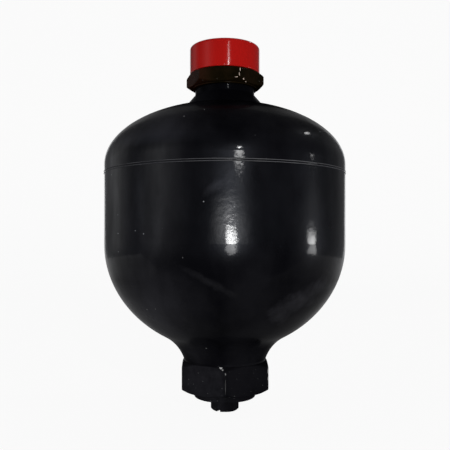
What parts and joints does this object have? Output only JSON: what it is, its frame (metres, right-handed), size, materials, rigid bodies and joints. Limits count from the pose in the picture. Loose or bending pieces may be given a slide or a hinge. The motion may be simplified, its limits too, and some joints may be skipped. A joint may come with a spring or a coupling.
{
  "type": "bladder accumulator",
  "caption": "Small welded-shell bladder accumulator with a hexagon port body, sprung poppet valve, lock nut, capped gas valve and slotted shipping plug.",
  "frame": {"origin": "centre of the fluid port's end face, under the port body's hexagon", "axes": "+Z along the vessel's axis from the fluid port up to the gas valve; -Y is the front"},
  "size_m": [0.1164, 0.1164, 0.1765],
  "materials": {
    "black_paint": "gloss black enamel, slight orange peel",
    "dark_steel": "thin dark paint over steel",
    "red_plastic": "smooth moulded",
    "nitrile_rubber": "matt black rubber",
    "white_ptfe": "waxy white",
    "plated_steel": "zinc plated",
    "bright_steel": "turned bright steel",
    "valve_brass": "turned brass",
    "bush_bronze": "turned bronze"
  },
  "bodies": {
    "shell": {"lower_shell": "black_paint", "upper_shell": "black_paint", "weld_seam": "black_paint", "bladder": "nitrile_rubber", "valve_stem": "plated_steel", "stem_o_ring": "nitrile_rubber", "lock_nut": "dark_steel", "valve_body": "plated_steel", "valve_body_o_ring": "nitrile_rubber", "valve_core": "valve_brass", "valve_spring": "bright_steel", "seal_cap": "plated_steel", "seal_cap_gasket": "nitrile_rubber", "port_body": "black_paint", "port_backup_ring": "white_ptfe", "port_o_ring": "nitrile_rubber", "guide_bush": "bush_bronze", "poppet_spring": "bright_steel", "shipping_plug": "black_paint", "plug_seal": "nitrile_rubber"},
    "poppet": {"poppet": "bright_steel", "poppet_lock_nut": "plated_steel"},
    "valve_pin": {"valve_pin": "valve_brass", "valve_disc": "nitrile_rubber"},
    "protective_cap": {"protective_cap": "red_plastic"}
  },
  "joints": [
    {"name": "poppet_slide", "type": "slide", "parent": "shell", "child": "poppet", "axis": [0, 0, 1], "range_m": [-0.005, 0], "stiffness_N_per_m": 1500, "springref_m": 0.004, "deforming": ["poppet_spring"]},
    {"name": "valve_pin_slide", "type": "slide", "parent": "shell", "child": "valve_pin", "axis": [0, 0, 1], "range_m": [-0.0012, 0], "stiffness_N_per_m": 800, "springref_m": 0.0015, "deforming": ["valve_spring"]},
    {"name": "cap_pull", "type": "slide", "parent": "shell", "child": "protective_cap", "axis": [0, 0, 1], "range_m": [0, 0.013]}
  ]
}
